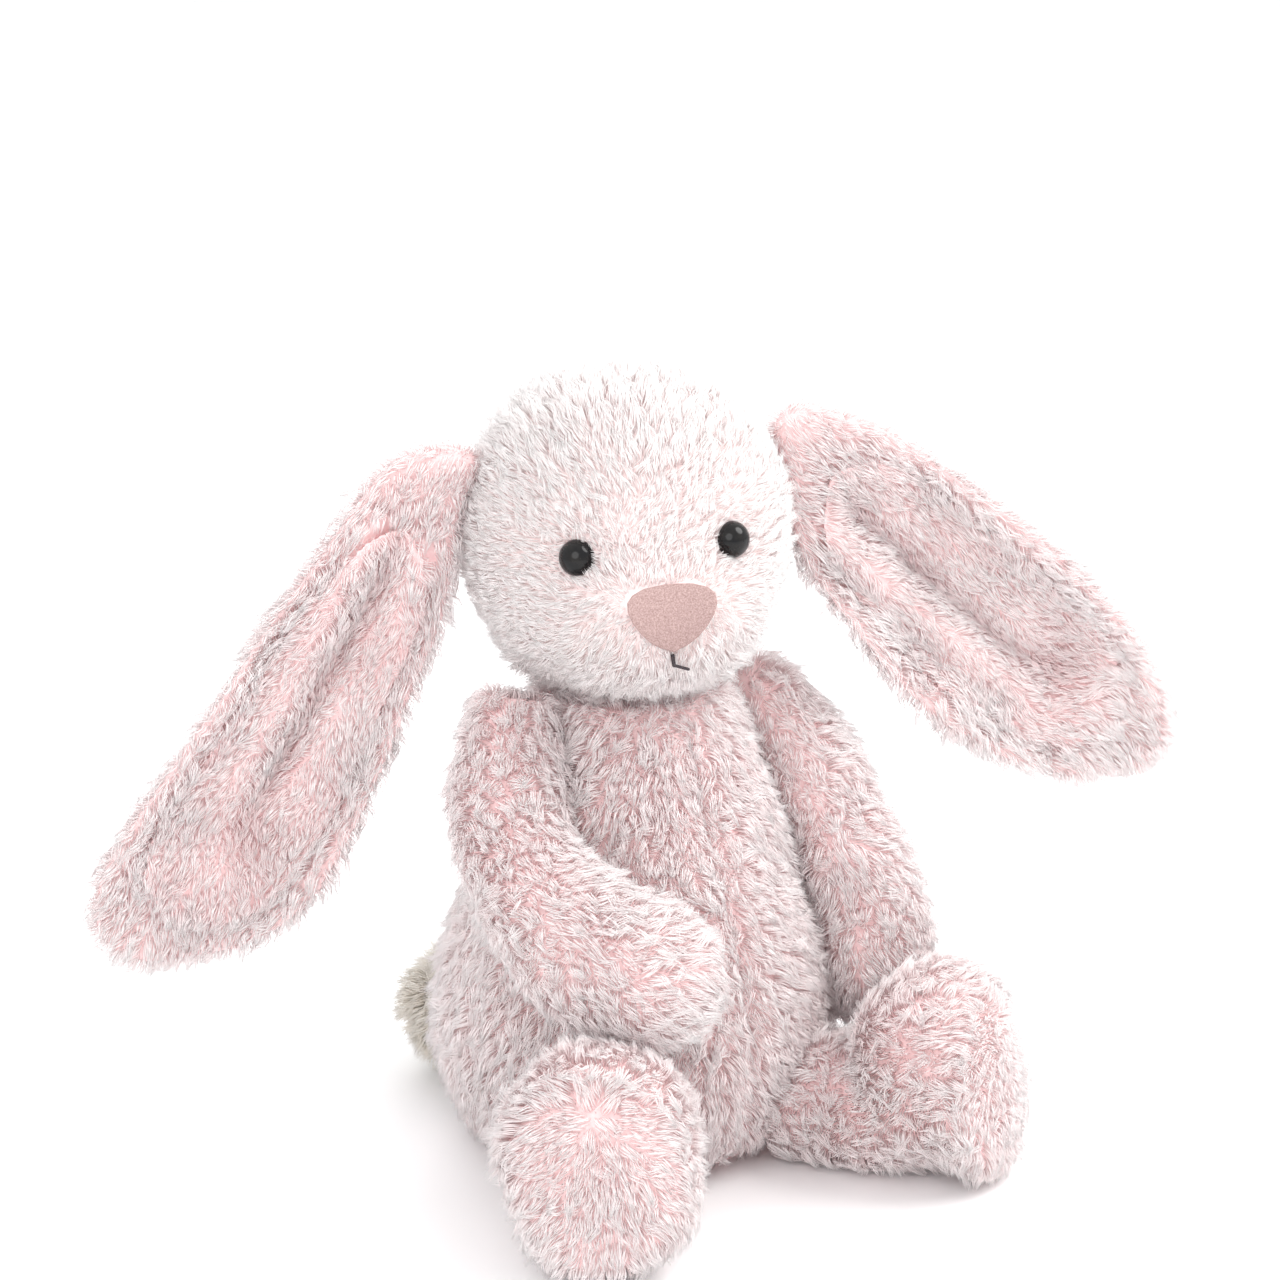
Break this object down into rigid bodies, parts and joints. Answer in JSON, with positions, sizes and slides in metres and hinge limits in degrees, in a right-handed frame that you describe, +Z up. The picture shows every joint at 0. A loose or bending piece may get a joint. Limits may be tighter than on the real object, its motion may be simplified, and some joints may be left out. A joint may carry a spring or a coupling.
{
  "type": "stuffed bunny rabbit",
  "caption": "Sitting plush rabbit with a weighted pear body, long lop ears, bead eyes, padded nose and pompom tail; head, ears, arms, legs and tail move on their seams.",
  "frame": {"origin": "centre of the round seat panel's underside, where the bunny rests", "axes": "+Z up, the belly faces -Y, +X is the bunny's own left; the rest pose is the sitting pose of the picture with the head turned 24 degrees to the bunny's right"},
  "size_m": [0.2924, 0.1771, 0.2125],
  "materials": {
    "plush_pink": "dense soft pile",
    "plush_face": "short soft pile",
    "plush_lining": "soft pile, deeper pink",
    "plush_cream": "long soft pile",
    "base_cloth": "woven backing cloth",
    "fibre_fill": "loose polyester fibre",
    "bean_cloth": "plain cotton pouch with pellets",
    "eye_black": "high gloss",
    "washer_white": "moulded",
    "nose_suedette": "brushed suedette",
    "mouth_thread": "twisted thread"
  },
  "bodies": {
    "torso": {"torso_skin": "plush_pink", "seat_panel": "base_cloth", "torso_stuffing": "fibre_fill", "bean_pouch": "bean_cloth"},
    "neck": {"neck_ball": "base_cloth"},
    "head": {"head_skin": "plush_face", "head_stuffing": "fibre_fill", "right_eye": "eye_black", "left_eye": "eye_black", "right_eye_washer": "washer_white", "left_eye_washer": "washer_white", "nose": "nose_suedette", "mouth_stitch": "mouth_thread"},
    "right_ear": {"right_ear_back": "plush_pink", "right_ear_lining": "plush_lining"},
    "left_ear": {"left_ear_back": "plush_pink", "left_ear_lining": "plush_lining"},
    "right_arm": {"right_arm_skin": "plush_pink", "right_arm_stuffing": "fibre_fill"},
    "left_arm": {"left_arm_skin": "plush_pink", "left_arm_stuffing": "fibre_fill"},
    "right_leg": {"right_leg_skin": "plush_pink", "right_leg_stuffing": "fibre_fill"},
    "left_leg": {"left_leg_skin": "plush_pink", "left_leg_stuffing": "fibre_fill"},
    "tail": {"tail_skin": "plush_cream", "tail_stuffing": "fibre_fill"}
  },
  "joints": [
    {"name": "head_nod", "type": "hinge", "parent": "torso", "child": "neck", "pos_m": [0, 0, 0.1305], "axis": [1, 0, 0], "range_deg": [-8, 9], "stiffness_Nm_per_rad": 0.9},
    {"name": "head_turn", "type": "hinge", "parent": "neck", "child": "head", "pos_m": [0, 0, 0.1305], "axis": [0, 0, 1], "range_deg": [-15, 45], "stiffness_Nm_per_rad": 0.3},
    {"name": "right_ear_lift", "type": "hinge", "parent": "head", "child": "right_ear", "pos_m": [-0.0385, 0.01714, 0.19182], "axis": [0.4067, 0.9135, 0], "range_deg": [-3, 45], "stiffness_Nm_per_rad": 0.15},
    {"name": "left_ear_lift", "type": "hinge", "parent": "head", "child": "left_ear", "pos_m": [0.0369, -0.01643, 0.19314], "axis": [-0.4067, -0.9135, 0], "range_deg": [-3, 45], "stiffness_Nm_per_rad": 0.15},
    {"name": "right_arm_lift", "type": "hinge", "parent": "torso", "child": "right_arm", "pos_m": [-0.0376, 0.0008, 0.125], "axis": [0, 1, 0], "range_deg": [0, 50], "stiffness_Nm_per_rad": 0.1},
    {"name": "left_arm_lift", "type": "hinge", "parent": "torso", "child": "left_arm", "pos_m": [0.0382, -0.0014, 0.12], "axis": [0, -1, 0], "range_deg": [0, 35], "stiffness_Nm_per_rad": 0.1},
    {"name": "right_leg_spread", "type": "hinge", "parent": "torso", "child": "right_leg", "pos_m": [-0.0315, -0.0355, 0.016], "axis": [0, 0, 1], "range_deg": [-15, 20], "stiffness_Nm_per_rad": 0.2},
    {"name": "left_leg_spread", "type": "hinge", "parent": "torso", "child": "left_leg", "pos_m": [0.0245, -0.041, 0.016], "axis": [0, 0, -1], "range_deg": [-8, 20], "stiffness_Nm_per_rad": 0.2},
    {"name": "tail_wag", "type": "hinge", "parent": "torso", "child": "tail", "pos_m": [-0.0115, 0.0496, 0.02], "axis": [0, 0, 1], "range_deg": [-12, 12], "stiffness_Nm_per_rad": 0.05}
  ]
}
